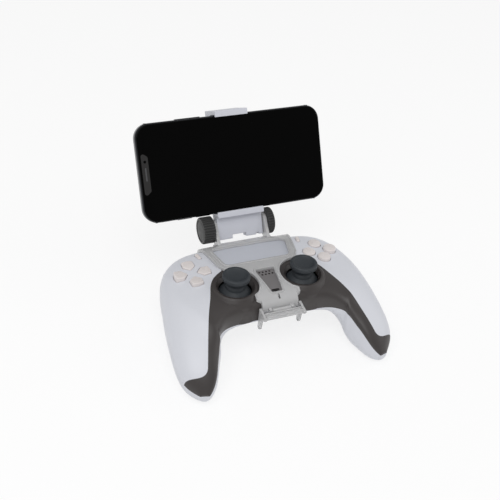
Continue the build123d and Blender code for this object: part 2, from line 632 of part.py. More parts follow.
switch = hold_box(-PHONE_W / 2 + 13, -PHONE_W / 2 + 20, low - 0.3, low + 1.2, -1.5, 0.5)
keep("phone_switch", PHONE * switch)
keep("phone_key_one", side_key(-PHONE_W / 2 + 25, -PHONE_W / 2 + 36, low - 0.5, low + 0.6, 1.0))
keep("phone_key_two", side_key(-PHONE_W / 2 + 39, -PHONE_W / 2 + 50, low - 0.5, low + 0.6, 1.0))
keep("phone_side_key", side_key(-PHONE_W / 2 + 31, -PHONE_W / 2 + 50, up - 0.6, up + 0.5, 1.0))

for name, shape in pieces.items():
    export_step(REST * shape, "parts/" + name + ".step")
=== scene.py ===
"""Looks of a game controller with a clip-on phone holder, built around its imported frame."""
import math

import bmesh
import bpy
from bpy.props import FloatProperty, FloatVectorProperty, IntProperty, PointerProperty
from mathutils import Euler, Matrix, Vector


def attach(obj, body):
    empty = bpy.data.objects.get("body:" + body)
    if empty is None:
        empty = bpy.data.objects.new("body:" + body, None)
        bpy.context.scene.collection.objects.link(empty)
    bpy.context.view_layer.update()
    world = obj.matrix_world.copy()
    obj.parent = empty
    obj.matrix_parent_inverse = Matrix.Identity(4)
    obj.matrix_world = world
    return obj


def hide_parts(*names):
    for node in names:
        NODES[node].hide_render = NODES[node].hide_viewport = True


bl_info = {
    "name": "Game controller with phone holder",
    "version": (1, 0, 0),
    "blender": (4, 5, 0),
    "location": "3D View > Sidebar > Controller",
    "description": "Makes the visible pieces and finishes of the controller, its phone holder and the phone",
    "category": "Object",
}

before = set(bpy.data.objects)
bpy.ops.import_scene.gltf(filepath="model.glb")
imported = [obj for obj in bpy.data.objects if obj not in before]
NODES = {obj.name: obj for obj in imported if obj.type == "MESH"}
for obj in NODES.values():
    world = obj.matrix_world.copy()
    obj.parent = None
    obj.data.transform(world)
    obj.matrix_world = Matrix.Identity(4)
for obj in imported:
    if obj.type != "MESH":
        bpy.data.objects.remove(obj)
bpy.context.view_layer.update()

MM = 0.001
REST_ANGLE = math.radians(4.6)
REST_Y = -26.1
REST_Z = 43.62
# The controller's face: x to the right, y away from the player, z up from the face
FACE = Matrix.Translation((0, REST_Y * MM, REST_Z * MM)) @ Matrix.Rotation(-REST_ANGLE, 4, "X")
# The phone: x along it, y up it, z out of its screen
HOLD = FACE @ Matrix.Translation((0, 77.5 * MM, 51.2 * MM)) @ Matrix.Rotation(math.radians(63.7), 4, "X")


def linear(code):
    """An sRGB hex colour as linear red, green and blue."""
    parts = [int(code[i : i + 2], 16) / 255 for i in (1, 3, 5)]
    return tuple(c / 12.92 if c <= 0.04045 else ((c + 0.055) / 1.055) ** 2.4 for c in parts)


def length(name, text, mm, low=0.1, high=300.0):
    """A size of the panel, shown as a distance."""
    return FloatProperty(name=name, description=text, default=mm * MM, min=low * MM, max=high * MM, unit="LENGTH")


def colour(name, text, code):
    """A colour of the panel."""
    return FloatVectorProperty(name=name, description=text, subtype="COLOR", size=3, min=0, max=1, default=linear(code))


def offset(name, text, mm):
    """A place of the panel that may lie on either side of its origin."""
    return FloatProperty(name=name, description=text, default=mm * MM, unit="LENGTH")


def wattage(name, text, watts):
    """A lamp's power in the panel."""
    return FloatProperty(name=name, description=text, default=watts, min=0, max=100, unit="POWER")


class ControllerSizes(bpy.types.PropertyGroup):
    """Sizes of the controller's sticks and keys"""

    stick_x: length("Stick from the middle", "Distance of each stick from the middle plane", 25.8)
    stick_y: offset("Stick place", "Sticks along the face", -0.5)
    cap_top: length("Cap height", "Top of a stick's cap above the face", 10.3)
    cap_radius: length("Cap radius", "Radius of a stick's cap", 9.8)
    pad_x: length("Keys from the middle", "Middle of each key group from the middle plane", 49.8)
    pad_y: length("Keys along the face", "Middle of each key group along the face", 21.0)
    pitch: length("Key pitch", "Round keys from the middle of their group", 8.4)
    key_radius: length("Key radius", "Radius of a round key", 4.75)
    key_top: length("Round key height", "Top of a round key above the face", 2.5)
    petal_top: length("Direction key height", "Top of a direction key above the face", 2.2)
    key_foot: length("Key depth", "Foot of a key below the face", 6.0)


class HolderSizes(bpy.types.PropertyGroup):
    """Sizes of the clip-on holder"""

    bead: length("Bead radius", "Radius of the raised beads along the clear frame", 0.5)
    knob_y: length("Knob place", "Knobs' axis along the face", 59.2)
    knob_z: length("Knob height", "Knobs' axis above the face", 7.7)
    knob_radius: length("Knob radius", "Radius of the knobs", 10.0)
    ribs: IntProperty(name="Ribs", description="Ribs round each knob", default=30, min=8, max=90)
    rib_depth: length("Rib depth", "Depth of the grooves between the ribs", 0.75)
    edge: length("Edge rounding", "Rounding of the holder's moulded edges", 0.8)


class PhoneSizes(bpy.types.PropertyGroup):
    """Sizes of the phone"""

    width: length("Length", "Long side of the phone", 143.6)
    height: length("Width", "Short side of the phone", 70.9)
    depth: length("Thickness", "Thickness of the phone", 7.7)
    corner: length("Corner radius", "Radius of the phone's corners", 10.8)
    shift: offset("Shift", "Phone's middle from the middle plane", -0.8)
    glass: length("Glass", "Thickness of each glass", 0.9)


class ControllerColours(bpy.types.PropertyGroup):
    """Colours of the finishes"""

    shell: colour("Shell", "Moulded shells, bumpers and triggers", "#E4E6ED")
    touch: colour("Touchpad", "Grained touchpad", "#CBCED7")
    trim: colour("Trim", "Dark trim between the grips", "#3A3534")
    # The panel colour is painted sheen: a lighter grey for the dark trim where it shows in the frame's slot
    panel: colour("Panel", "Grey panel under the speaker holes", "#7C797A")
    key: colour("Keys", "Direction keys and round keys", "#EFE8E6")
    stick: colour("Sticks", "Rubber of the stick caps", "#33383D")
    knob: colour("Knobs", "Ribbed knobs", "#353535")
    clear: colour("Clear plastic", "Clear frame and buckle", "#E6E6E7")
    holder: colour("Holder", "Cradle and top jaw", "#D8DAE3")
    band: colour("Phone band", "Metal band of the phone", "#3A3B3E")


class StageSettings(bpy.types.PropertyGroup):
    """Light and floor"""

    sky: FloatProperty(name="Surround light", description="Strength of the even light", default=0.5, min=0, max=2)
    key_power: wattage("Key lamp", "Power of the lamp above and in front", 3.0)
    fill_power: wattage("Fill lamp", "Power of the lamp at the side", 0.8)


def size(name):
    """A size of the controller in millimetres."""
    return getattr(bpy.context.scene.controller_sizes, name) / MM


def holder(name):
    """A size of the holder in millimetres."""
    return getattr(bpy.context.scene.holder_sizes, name) / MM


def phone(name):
    """A size of the phone in millimetres."""
    return getattr(bpy.context.scene.phone_sizes, name) / MM


# Finishes


def add_node(tree, kind, settings=None, links=None):
    """Adds a node, sets its own settings, and fills its inputs with values or other nodes' outputs."""
    made = tree.nodes.new(kind)
    for key, value in (settings or {}).items():
        setattr(made, key, value)
    for key, source in (links or {}).items():
        if isinstance(source, bpy.types.NodeSocket):
            tree.links.new(source, made.inputs[key])
        else:
            made.inputs[key].default_value = source
    return made


def principled(name, tone, roughness, sockets=None):
    """A Principled material, with its tree and shader."""
    material = bpy.data.materials.new(name)
    material.use_nodes = True
    tree = material.node_tree
    shader = tree.nodes["Principled BSDF"]
    shader.inputs["Base Color"].default_value = (*tone, 1)
    shader.inputs["Roughness"].default_value = roughness
    for key, value in (sockets or {}).items():
        shader.inputs[key].default_value = value
    material.diffuse_color = (*tone, 1)
    return material, tree, shader


def noise(tree, spot_mm, detail=2.0, rough=0.5):
    """Noise whose spots are about this many millimetres wide."""
    place = add_node(tree, "ShaderNodeTexCoord")
    links = {"Vector": place.outputs["Object"], "Scale": 1000 / spot_mm, "Detail": detail, "Roughness": rough}
    return add_node(tree, "ShaderNodeTexNoise", None, links)


def mottle(tree, shader, tone, spread, spot_mm):
    """Slight uneven tone, as a moulding has."""
    spots = noise(tree, spot_mm)
    dark = tuple(c * (1 - spread) for c in tone)
    light = tuple(min(1, c * (1 + spread)) for c in tone)
    links = {"Factor": spots.outputs["Fac"], 6: (*dark, 1), 7: (*light, 1)}
    mixed = add_node(tree, "ShaderNodeMix", {"data_type": "RGBA"}, links)
    tree.links.new(mixed.outputs[2], shader.inputs["Base Color"])


def handled(tree, shader, low, high, spot_mm=9.0):
    """Roughness that wanders a little, as on a handled surface."""
    spots = noise(tree, spot_mm, 3.0)
    links = {"Value": spots.outputs["Fac"], "From Min": 0.3, "From Max": 0.7, "To Min": low, "To Max": high}
    ranged = add_node(tree, "ShaderNodeMapRange", None, links)
    tree.links.new(ranged.outputs["Result"], shader.inputs["Roughness"])


def grain(tree, shader, grit_mm, height_mm, round_mm=0.0):
    """Fine moulded grain, with soft edges where round_mm is given."""
    spots = noise(tree, grit_mm, 2.0, 0.55)
    links = {"Height": spots.outputs["Fac"], "Distance": height_mm * MM, "Strength": 1.0}
    if round_mm:
        soft = add_node(tree, "ShaderNodeBevel", {"samples": 6}, {"Radius": round_mm * MM})
        links["Normal"] = soft.outputs["Normal"]
    bump = add_node(tree, "ShaderNodeBump", None, links)
    tree.links.new(bump.outputs["Normal"], shader.inputs["Normal"])


def touch_dimples(tree, shader, tone):
    """The touchpad's dimples: about 0.15 mm on the real one, drawn at 0.5 mm so that they show."""
    place = add_node(tree, "ShaderNodeTexCoord")
    links = {"Vector": place.outputs["Object"], "Scale": 2000.0, "Randomness": 0.15}
    cells = add_node(tree, "ShaderNodeTexVoronoi", None, links)
    soft = add_node(tree, "ShaderNodeBevel", {"samples": 6}, {"Radius": 0.3 * MM})
    links = {"Height": cells.outputs["Distance"], "Distance": 0.02 * MM, "Strength": 0.6}
    bump = add_node(tree, "ShaderNodeBump", None, {**links, "Normal": soft.outputs["Normal"]})
    tree.links.new(bump.outputs["Normal"], shader.inputs["Normal"])


def board_weave(tree, shader, tone):
    """The board's glass weave, with a thread every 0.5 mm."""
    place = add_node(tree, "ShaderNodeTexCoord")
    darker = [c * 0.85 for c in tone]
    links = {"Vector": place.outputs["Object"], "Scale": 2000.0, "Color1": (*tone, 1), "Color2": (*darker, 1)}
    weave = add_node(tree, "ShaderNodeTexChecker", None, links)
    tree.links.new(weave.outputs["Color"], shader.inputs["Base Color"])


# Each finish: material name, colour (of the panel, or fixed), roughness, other sockets, then spread and
# spot size of the mottle, range of the roughness and its spot size, and grit, height and edge of the grain
FINISHES = {
    # Injection-moulded ABS with a fine spark-eroded grain: a cool satin white with wide soft highlights
    "shell": ("moulded_abs_shell", "shell", 0.36, {"IOR": 1.54}, (0.012, 18), (0.32, 0.42), (0.35, 0.006, 0.35)),
    # Moulded ABS with a coarser eroded grain: duller and a little greyer than the shell
    "touch": ("grained_abs_touchpad", "touch", 0.5, {"IOR": 1.54}, (0.02, 6), (0.44, 0.56), ()),
    # Dark polycarbonate and ABS blend, moulded satin: brown black with broad grey highlights
    "trim": ("satin_polycarbonate_trim", "trim", 0.4, {"IOR": 1.58}, (0.05, 12), (0.34, 0.44), (0.3, 0.006, 0.3)),
    # Satin polycarbonate, mid grey and slightly warm: painted sheen of the dark trim where it shows in the frame's
    # slot, not a part of its own
    "panel": ("lacquered_panel", "panel", 0.42, {"IOR": 1.5}, (0.04, 4), (), (0.25, 0.004)),
    # Cream ABS key under a polished acrylic skin: warm white with a clear gloss
    "key": (
        "acrylic_key",
        "key",
        0.28,
        {"IOR": 1.49, "Coat Weight": 0.35, "Coat Roughness": 0.12},
        (0.015, 5),
        (0.22, 0.34, 4),
        (),
    ),
    # Black moulded ABS: small and dull
    "mute": ("black_abs", "#1B1A1B", 0.45, {"IOR": 1.54}, (0.08, 2), (), (0.3, 0.006)),
    # Moulded thermoplastic rubber: blue black, dull, with a fine grip grain
    "stick": ("moulded_rubber_cap", "stick", 0.55, {"IOR": 1.5}, (0.06, 5), (0.48, 0.62, 4), (0.28, 0.012)),
    # Glass-filled nylon: charcoal, with a dry satin look
    "knob": ("glass_filled_nylon", "knob", 0.5, {"IOR": 1.53}, (0.07, 3), (0.42, 0.56, 5), (0.3, 0.008)),
    # Clear polycarbonate, moulded: slightly milky, with bright edges and a wide soft sheen
    "clear": (
        "clear_polycarbonate",
        "clear",
        0.2,
        {"IOR": 1.585, "Transmission Weight": 0.38, "Coat Weight": 0.4, "Coat Roughness": 0.08},
        (),
        (0.14, 0.26, 6),
        (1.6, 0.02, 0.4),
    ),
    # Moulded ABS, semi-matt: a cool pale grey white
    "holder": ("moulded_abs_holder", "holder", 0.4, {"IOR": 1.54}, (0.015, 8), (0.36, 0.46), (0.35, 0.008)),
    # Milky acrylic light guide: pale, unlit, with a soft gloss
    "light": ("milky_acrylic", "#DDE2EA", 0.25, {"IOR": 1.49, "Transmission Weight": 0.2}, (0.01, 3), (), ()),
    # Silicone rubber pad: dull dark grey
    "pad": ("silicone_pad", "#3C3C3E", 0.7, {"IOR": 1.41}, (0.05, 3), (), (0.4, 0.02)),
    # Turned stainless steel: bright grey, with a slight unevenness from the tool
    "steel": ("turned_steel", "#B9B9BC", 0.3, {"Metallic": 1.0}, (0.06, 0.8), (0.22, 0.4, 1.0), ()),
    # Drawn spring steel wire: darker grey and smooth
    "coil": ("spring_steel", "#8E8E92", 0.34, {"Metallic": 1.0}, (), (0.28, 0.42, 0.6), ()),
    # Black moulded nylon of the inner modules: dull, a little dusty
    "module": ("black_nylon_module", "#242426", 0.55, {"IOR": 1.53}, (0.1, 2), (), (0.3, 0.01)),
    # Glass laminate board under green solder resist: glossy, with the weave just showing
    "board": ("solder_resist", "#1F5537", 0.3, {"IOR": 1.52}, (), (), ()),
    # Laminated aluminium pouch foil: dull grey with soft creases
    "foil": ("pouch_foil", "#8C8F94", 0.38, {"Metallic": 0.6}, (0.05, 5), (), (3.0, 0.05)),
    # Polished stainless band with a graphite coating: dark, mirror-like along its round edge
    "band": ("graphite_coated_steel", "band", 0.16, {"Metallic": 1.0}, (0.05, 8), (0.12, 0.24, 7), ()),
    # Black cover glass with an anti-reflection coating, so it stays black in a white room
    "screen": (
        "coated_cover_glass",
        "#020202",
        0.06,
        {"IOR": 1.5, "Specular IOR Level": 0.06},
        (),
        (0.04, 0.1, 12),
        (),
    ),
    # Black back glass with a satin etch: dark grey, soft highlights
    "back": ("etched_back_glass", "#141416", 0.3, {"IOR": 1.5}, (0.08, 10), (0.24, 0.36, 10), ()),
    # Dark grey mask behind the glass round the earpiece: a shade lighter than the screen
    "notch": ("notch_mask", "#302F2F", 0.4, {"IOR": 1.5, "Specular IOR Level": 0.2}, (0.04, 3), (), ()),
    # Resin inlay of the band's antenna gaps: dull dark grey
    "antenna": ("antenna_resin", "#4B4B4D", 0.5, {"IOR": 1.5}, (0.04, 1), (), ()),
}
PATTERNS = {"touch": touch_dimples, "board": board_weave}
made_finishes = {}


def finish(key):
    """The material of a finish, made once."""
    if key not in made_finishes:
        name, code, roughness, sockets, spots, wander, grit = FINISHES[key]
        tone = linear(code) if code[0] == "#" else tuple(getattr(bpy.context.scene.controller_colours, code))
        material, tree, shader = principled(name, tone, roughness, sockets)
        if spots:
            mottle(tree, shader, tone, *spots)
        if wander:
            handled(tree, shader, *wander)
        if grit:
            grain(tree, shader, *grit)
        if key in PATTERNS:
            PATTERNS[key](tree, shader, tone)
        made_finishes[key] = material
    return made_finishes[key]


# Shaping

WELD = 0.000002  # vertices closer than this, in metres, become one
# From a shape drawn in y and z and raised along x
SIDEWAYS = Matrix(((0, 0, 1, 0), (1, 0, 0, 0), (0, 1, 0, 0), (0, 0, 0, 1)))
SIDES = ((-1, "left"), (1, "right"))


def select_only(*pieces):
    """Selects these objects alone and makes the first one active."""
    bpy.ops.object.select_all(action="DESELECT")
    for piece in pieces:
        piece.select_set(True)
    bpy.context.view_layer.objects.active = pieces[0]


def outwards(piece, weld=False):
    """Turns a closed surface's faces outwards, and welds its doubled vertices where asked."""
    select_only(piece)
    bpy.ops.object.mode_set(mode="EDIT")
    bpy.ops.mesh.select_all(action="SELECT")
    if weld:
        bpy.ops.mesh.remove_doubles(threshold=WELD)
    bpy.ops.mesh.normals_make_consistent(inside=False)
    bpy.ops.object.mode_set(mode="OBJECT")
    return piece


def fix(piece):
    """Moves a piece's place, turn and scale into its mesh."""
    select_only(piece)
    bpy.ops.object.transform_apply(location=True, rotation=True, scale=True)
    return piece


def ring(points, fill="NOTHING"):
    """A closed ring of edges through points in mm, empty or filled."""
    bpy.ops.object.select_all(action="DESELECT")
    bpy.ops.mesh.primitive_circle_add(vertices=len(points), radius=0.01, fill_type=fill)
    piece = bpy.context.object
    for vert, point in zip(piece.data.vertices, points):
        vert.co = [c * MM for c in point]
    return piece


def open_ring(piece):
    """Takes out the edge between a ring's first and last points."""
    ends = {0, len(piece.data.vertices) - 1}
    bpy.ops.object.mode_set(mode="EDIT")
    mesh = bmesh.from_edit_mesh(piece.data)
    closing = [e for e in mesh.edges if {v.index for v in e.verts} == ends]
    bmesh.ops.delete(mesh, geom=closing, context="EDGES_FACES")
    bmesh.update_edit_mesh(piece.data)
    bpy.ops.object.mode_set(mode="OBJECT")


def prism(outline, low, high):
    """A straight-sided block from an outline in mm, between two heights."""
    piece = ring([(x, y, low) for x, y in outline], "NGON")
    bpy.ops.object.mode_set(mode="EDIT")
    bpy.ops.mesh.select_all(action="SELECT")
    bpy.ops.mesh.extrude_region_move(TRANSFORM_OT_translate={"value": (0, 0, (high - low) * MM)})
    bpy.ops.object.mode_set(mode="OBJECT")
    return outwards(piece)


def block(x0, x1, y0, y1, z0, z1):
    """A block between these limits in mm."""
    bpy.ops.object.select_all(action="DESELECT")
    bpy.ops.mesh.primitive_cube_add(size=1, location=[(a + b) / 2 * MM for a, b in ((x0, x1), (y0, y1), (z0, z1))])
    piece = bpy.context.object
    piece.scale = ((x1 - x0) * MM, (y1 - y0) * MM, (z1 - z0) * MM)
    return fix(piece)


def rod(x, y, z, axis, radius, low, high, steps=48):
    """A round rod in mm along x or z, between two limits."""
    middle = (low + high) / 2
    place, turn = ((middle, y, z), (0, math.pi / 2, 0)) if axis == "X" else ((x, y, middle), (0, 0, 0))
    bpy.ops.object.select_all(action="DESELECT")
    bpy.ops.mesh.primitive_cylinder_add(
        vertices=steps, radius=radius * MM, depth=(high - low) * MM, location=[c * MM for c in place], rotation=turn
    )
    return fix(bpy.context.object)


def spun(profile, steps):
    """A round body spun about z, from (radius, height) points in mm that start and end on its axis."""
    piece = ring([(r, 0, z) for r, z in profile])
    open_ring(piece)
    bpy.ops.object.mode_set(mode="EDIT")
    bpy.ops.mesh.select_all(action="SELECT")
    bpy.ops.mesh.spin(steps=steps, angle=2 * math.pi, center=(0, 0, 0), axis=(0, 0, 1))
    bpy.ops.object.mode_set(mode="OBJECT")
    return outwards(piece, weld=True)


def fluted(profile, ribs):
    """A round body with ribs, from (radius, height, rib depth) points in mm about the z axis."""
    parts = (0.0, 0.07, 0.14, 0.28, 0.42, 0.49, 0.56, 0.66, 0.84, 0.94)
    dips = (0.45, 0.12, 0.0, 0.0, 0.0, 0.12, 0.45, 1.0, 1.0, 0.8)
    around = ribs * len(parts)
    bpy.ops.object.select_all(action="DESELECT")
    bpy.ops.mesh.primitive_grid_add(x_subdivisions=around, y_subdivisions=len(profile) - 1, size=2)
    piece = bpy.context.object
    for vert in piece.data.vertices:
        i = round((vert.co.x + 1) / 2 * around)
        r, z, deep = profile[round((vert.co.y + 1) / 2 * (len(profile) - 1))]
        a = 2 * math.pi * (i // len(parts) + parts[i % len(parts)]) / ribs
        r = r - deep * dips[i % len(parts)]
        vert.co = (r * math.cos(a) * MM, r * math.sin(a) * MM, z * MM)
    return outwards(piece, weld=True)


def apply_modifier(piece, kind, settings):
    """Adds a modifier with these settings and applies it."""
    select_only(piece)
    bpy.ops.object.modifier_add(type=kind)
    modifier = piece.modifiers[-1]
    for key, value in settings.items():
        setattr(modifier, key, value)
    bpy.ops.object.modifier_apply(modifier=modifier.name)


def rounded(piece, width, segments=3, angle=30):
    """Rounds all edges sharper than the angle."""
    settings = {"width": width * MM, "segments": segments, "limit_method": "ANGLE", "use_clamp_overlap": True}
    settings |= {"angle_limit": math.radians(angle), "miter_outer": "MITER_ARC"}
    apply_modifier(piece, "BEVEL", settings)


def rounded_where(piece, test, width, segments=3):
    """Rounds the edges whose two ends both pass the test, given in mm."""
    select_only(piece)
    bpy.ops.object.mode_set(mode="EDIT")
    bpy.ops.mesh.select_mode(type="EDGE")
    bpy.ops.mesh.select_all(action="DESELECT")
    mesh = bmesh.from_edit_mesh(piece.data)
    for edge in mesh.edges:
        edge.select = all(test(*(v.co / MM)) for v in edge.verts)
    bmesh.update_edit_mesh(piece.data)
    bpy.ops.mesh.bevel(offset=width * MM, segments=segments, affect="EDGES")
    bpy.ops.object.mode_set(mode="OBJECT")


def combine(piece, others, kind):
    """Joins other blocks to a piece, or cuts them out of it, and removes them."""
    for other in others:
        apply_modifier(piece, "BOOLEAN", {"operation": kind, "solver": "EXACT", "object": other})
        bpy.data.objects.remove(other)


def joined(pieces):
    """Several blocks as one object, each with its own closed surface."""
    select_only(*pieces)
    bpy.ops.object.join()
    return bpy.context.object


def copied(piece):
    """A copy with its own mesh."""
    select_only(piece)
    bpy.ops.object.duplicate()
    return bpy.context.object


def settle(piece, name, place, body, surface, slot, *nodes, smooth=32):
    """Puts a finished shape in its place, with its finish, its body and the nodes that it stands for."""
    select_only(piece)
    piece.matrix_world = place @ piece.matrix_world
    bpy.ops.object.transform_apply(location=True, rotation=True, scale=True)
    if smooth:
        bpy.ops.object.shade_smooth_by_angle(angle=math.radians(smooth))
    piece.name = name
    piece.data.name = name
    piece.data.materials.clear()
    piece.data.materials.append(finish(surface))
    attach(piece, body)
    if nodes:
        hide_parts(*nodes)
    return piece


def dress(surface, *nodes):
    """Gives CAD nodes a finish."""
    for name in nodes:
        materials = NODES[name].data.materials
        materials.clear()
        materials.append(finish(surface))


def at(x=0.0, y=0.0, z=0.0, turn=0.0):
    """A place on the controller's face, in mm and degrees about the upright."""
    return FACE @ Matrix.Translation((x * MM, y * MM, z * MM)) @ Matrix.Rotation(math.radians(turn), 4, "Z")


def ring_corner(before, corner, after, radius, steps):
    """Points round one corner of an outline."""
    a = (Vector(before) - Vector(corner)).normalized()
    b = (Vector(after) - Vector(corner)).normalized()
    half = a.angle(b) / 2
    reach = radius / math.tan(half)
    centre = Vector(corner) + (a + b).normalized() * (radius / math.sin(half))
    start = Vector(corner) + a * reach - centre
    turn = (math.pi - 2 * half) * (1 if a.cross(b) < 0 else -1)
    points = []
    for i in range(steps + 1):
        t = turn * i / steps
        c, s = math.cos(t), math.sin(t)
        points.append((centre.x + start.x * c - start.y * s, centre.y + start.x * s + start.y * c))
    return points


def soft_outline(corners, radius, steps=6):
    """A closed outline through corners, with each corner rounded."""
    points = []
    count = len(corners)
    for i in range(count):
        points += ring_corner(corners[i - 1], corners[i], corners[(i + 1) % count], radius, steps)
    return points


def pill_outline(long, wide, steps=12):
    """A round-ended outline along x."""
    r = wide / 2
    reach = long / 2 - r
    points = []
    for side in (1, -1):
        for i in range(steps + 1):
            a = math.radians(-90 + 180 * i / steps)
            points.append((side * (reach + r * math.cos(a)), side * r * math.sin(a)))
    return points


def curve_through(points, steps=8):
    """Smooth points through the given ones."""
    last = len(points) - 1
    made = []
    for i in range(last):
        p = [Vector(points[min(max(i + k, 0), last)]) for k in (-1, 0, 1, 2)]
        for t in [j / steps for j in range(steps)]:
            bent = (2 * p[0] - 5 * p[1] + 4 * p[2] - p[3]) * t * t + (3 * p[1] - p[0] - 3 * p[2] + p[3]) * t * t * t
            made.append(0.5 * (2 * p[1] + (p[2] - p[0]) * t + bent))
    made.append(Vector(points[-1]))
    return [tuple(v) for v in made]


def face_height(node, x, y, above=30.0):
    """Height of a CAD node's upper surface over a point of the face, in mm, or None."""
    start = FACE @ Vector((x * MM, y * MM, above * MM))
    down = FACE.to_3x3() @ Vector((0, 0, -1))
    hit, spot, _, _ = NODES[node].ray_cast(start, down)
    if not hit:
        return None
    return (FACE.inverted() @ spot).z / MM


def tube(points, radius, closed):
    """A round bead along points in mm."""
    piece = ring(points)
    if not closed:
        open_ring(piece)
    bpy.ops.object.convert(target="CURVE")
    piece = bpy.context.object
    piece.data.bevel_depth = radius * MM
    piece.data.bevel_resolution = 3
    piece.data.use_fill_caps = not closed
    bpy.ops.object.convert(target="MESH")
    return bpy.context.object


# Controller

KEY_FLANGE = 0.9  # width and thickness of the flange round a key's foot


def key_group(key, piece, node, places, smooth):
    """Four copies of a key, from the right one round to the front one. The first key is removed."""
    for name, place in zip(("right", "rear", "left", "front"), places):
        settle(copied(key), piece + name, place, node + name + "_key", "key", "key_cream", node + name, smooth=smooth)
    bpy.data.objects.remove(key)


class CONTROLLER_OT_shells(bpy.types.Operator):
    """Finish of the shells, trim, touchpad, light strips and the inner parts"""

    bl_idname = "controller.shells"
    bl_label = "Shells and inner parts"

    def execute(self, context):
        dress("shell", "front_shell", "back_shell", "bumper_left", "bumper_right")
        dress("trim", "centre_trim")
        dress("touch", "touchpad")
        dress("light", "light_strips")
        dress("module", "audio_jack", "stick_modules", "stick_bail_left", "stick_bail_right", "speaker", "battery_tray")
        dress("steel", "trigger_pins", "charging_port", "shell_screws", "stick_shaft_left", "stick_shaft_right")
        dress("steel", "rumble_motors", "rumble_weight_left", "rumble_weight_right", "bolt_left", "bolt_right")
        dress("board", "main_board", "key_boards")
        dress("foil", "battery")
        dress("pad", "key_rubbers")
        return {"FINISHED"}


class CONTROLLER_OT_sticks(bpy.types.Operator):
    """Rubber caps of the two thumb sticks, each with a dished top and a flared skirt"""

    bl_idname = "controller.sticks"
    bl_label = "Stick caps"

    def execute(self, context):
        top = size("cap_top")
        wide = size("cap_radius")
        rim = [(0, top - 1.75), (2.4, top - 1.72), (4.6, top - 1.5), (6.2, top - 1.1), (6.9, top - 0.75)]
        rim += [(7.05, top - 0.72), (7.2, top - 0.55), (7.5, top - 0.2), (7.9, top - 0.03), (8.4, top)]
        rim += [(8.9, top - 0.06), (9.4, top - 0.32), (9.7, top - 0.75), (wide, top - 1.2), (wide, top - 1.6)]
        rim += [(9.62, top - 1.7), (9.62, top - 1.85), (wide, top - 1.95), (wide, top - 2.5), (9.62, top - 2.6)]
        rim += [(9.62, top - 2.75), (wide - 0.02, top - 2.85), (9.65, top - 3.4), (9.3, top - 3.9), (8.6, top - 4.3)]
        rim += [(7.7, top - 4.65), (6.95, top - 5.1), (6.45, top - 5.7), (6.15, top - 6.5), (6.02, top - 7.4)]
        rim += [(6.1, top - 8.1), (6.35, top - 8.6), (6.6, 1.4)]
        dome = []
        for i in range(1, 15):
            a = math.radians(28 + i * 2.45)
            dome.append((14.0 * math.sin(a), -12.5 + 14.0 * math.cos(a)))
        under = [(11.2, -6.6), (8.0, -2.6), (5.2, -0.9), (2.9, -1.0), (2.9, -2.4), (1.85, -2.4), (1.85, 6.0), (0, 6.0)]
        cap = spun(rim + dome + under, 112)
        for side, word in SIDES:
            place = at(side * size("stick_x"), size("stick_y"))
            body, node = "stick_" + word + "_cap_body", "stick_cap_" + word
            settle(copied(cap), word + "_stick_rubber", place, body, "stick", "stick_rubber", node, smooth=40)
        bpy.data.objects.remove(cap)
        return {"FINISHED"}


class CONTROLLER_OT_round_keys(bpy.types.Operator):
    """Four round keys with domed tops"""

    bl_idname = "controller.round_keys"
    bl_label = "Round keys"

    def execute(self, context):
        r = size("key_radius")
        top = size("key_top")
        foot = -size("key_foot")
        profile = [(0, top), (1.4, top - 0.03), (2.6, top - 0.12), (3.5, top - 0.28)]
        for i in range(7):
            a = math.radians(78 - 13 * i)
            profile.append((r - 0.9 + 0.9 * math.cos(a), top - 1.28 + 0.95 * math.sin(a)))
        wide = r + KEY_FLANGE
        profile += [(r, foot), (wide, foot), (wide, foot - KEY_FLANGE), (0, foot - KEY_FLANGE)]
        x, y, pitch = size("pad_x"), size("pad_y"), size("pitch")
        turns = [math.radians(90 * i) for i in range(4)]
        places = [at(x + pitch * math.cos(a), y + pitch * math.sin(a)) for a in turns]
        key_group(spun(profile, 72), "round_key_", "button_", places, 40)
        return {"FINISHED"}


class CONTROLLER_OT_direction_keys(bpy.types.Operator):
    """Four direction keys, each sloping down to the middle of the group"""

    bl_idname = "controller.direction_keys"
    bl_label = "Direction keys"

    def execute(self, context):
        corners = [(3.4, 0), (7.4, -4.5), (12.8, -4.1), (13.4, 0), (12.8, 4.1), (7.4, 4.5)]
        foot = -size("key_foot")
        top = size("petal_top")
        stem = prism(soft_outline(corners, 1.1, 6), foot, top)
        select_only(stem)
        bpy.ops.object.mode_set(mode="EDIT")
        mesh = bmesh.from_edit_mesh(stem.data)
        for vert in mesh.verts:
            if vert.co.z > 0:
                vert.co.z = (top - 0.085 * (13.4 - vert.co.x / MM)) * MM
        bmesh.update_edit_mesh(stem.data)
        bpy.ops.object.mode_set(mode="OBJECT")
        rounded_where(stem, lambda x, y, z: z > 0.5, 0.8, 5)
        wide = soft_outline([(2.7, 0), (7.1, -5.1), (13.3, -4.6), (13.95, 0), (13.3, 4.6), (7.1, 5.1)], 1.5, 5)
        key = joined([stem, prism(wide, foot - KEY_FLANGE, foot)])
        places = [at(-size("pad_x"), size("pad_y"), 0, 90 * i) for i in range(4)]
        key_group(key, "direction_key_", "pad_", places, 35)
        return {"FINISHED"}


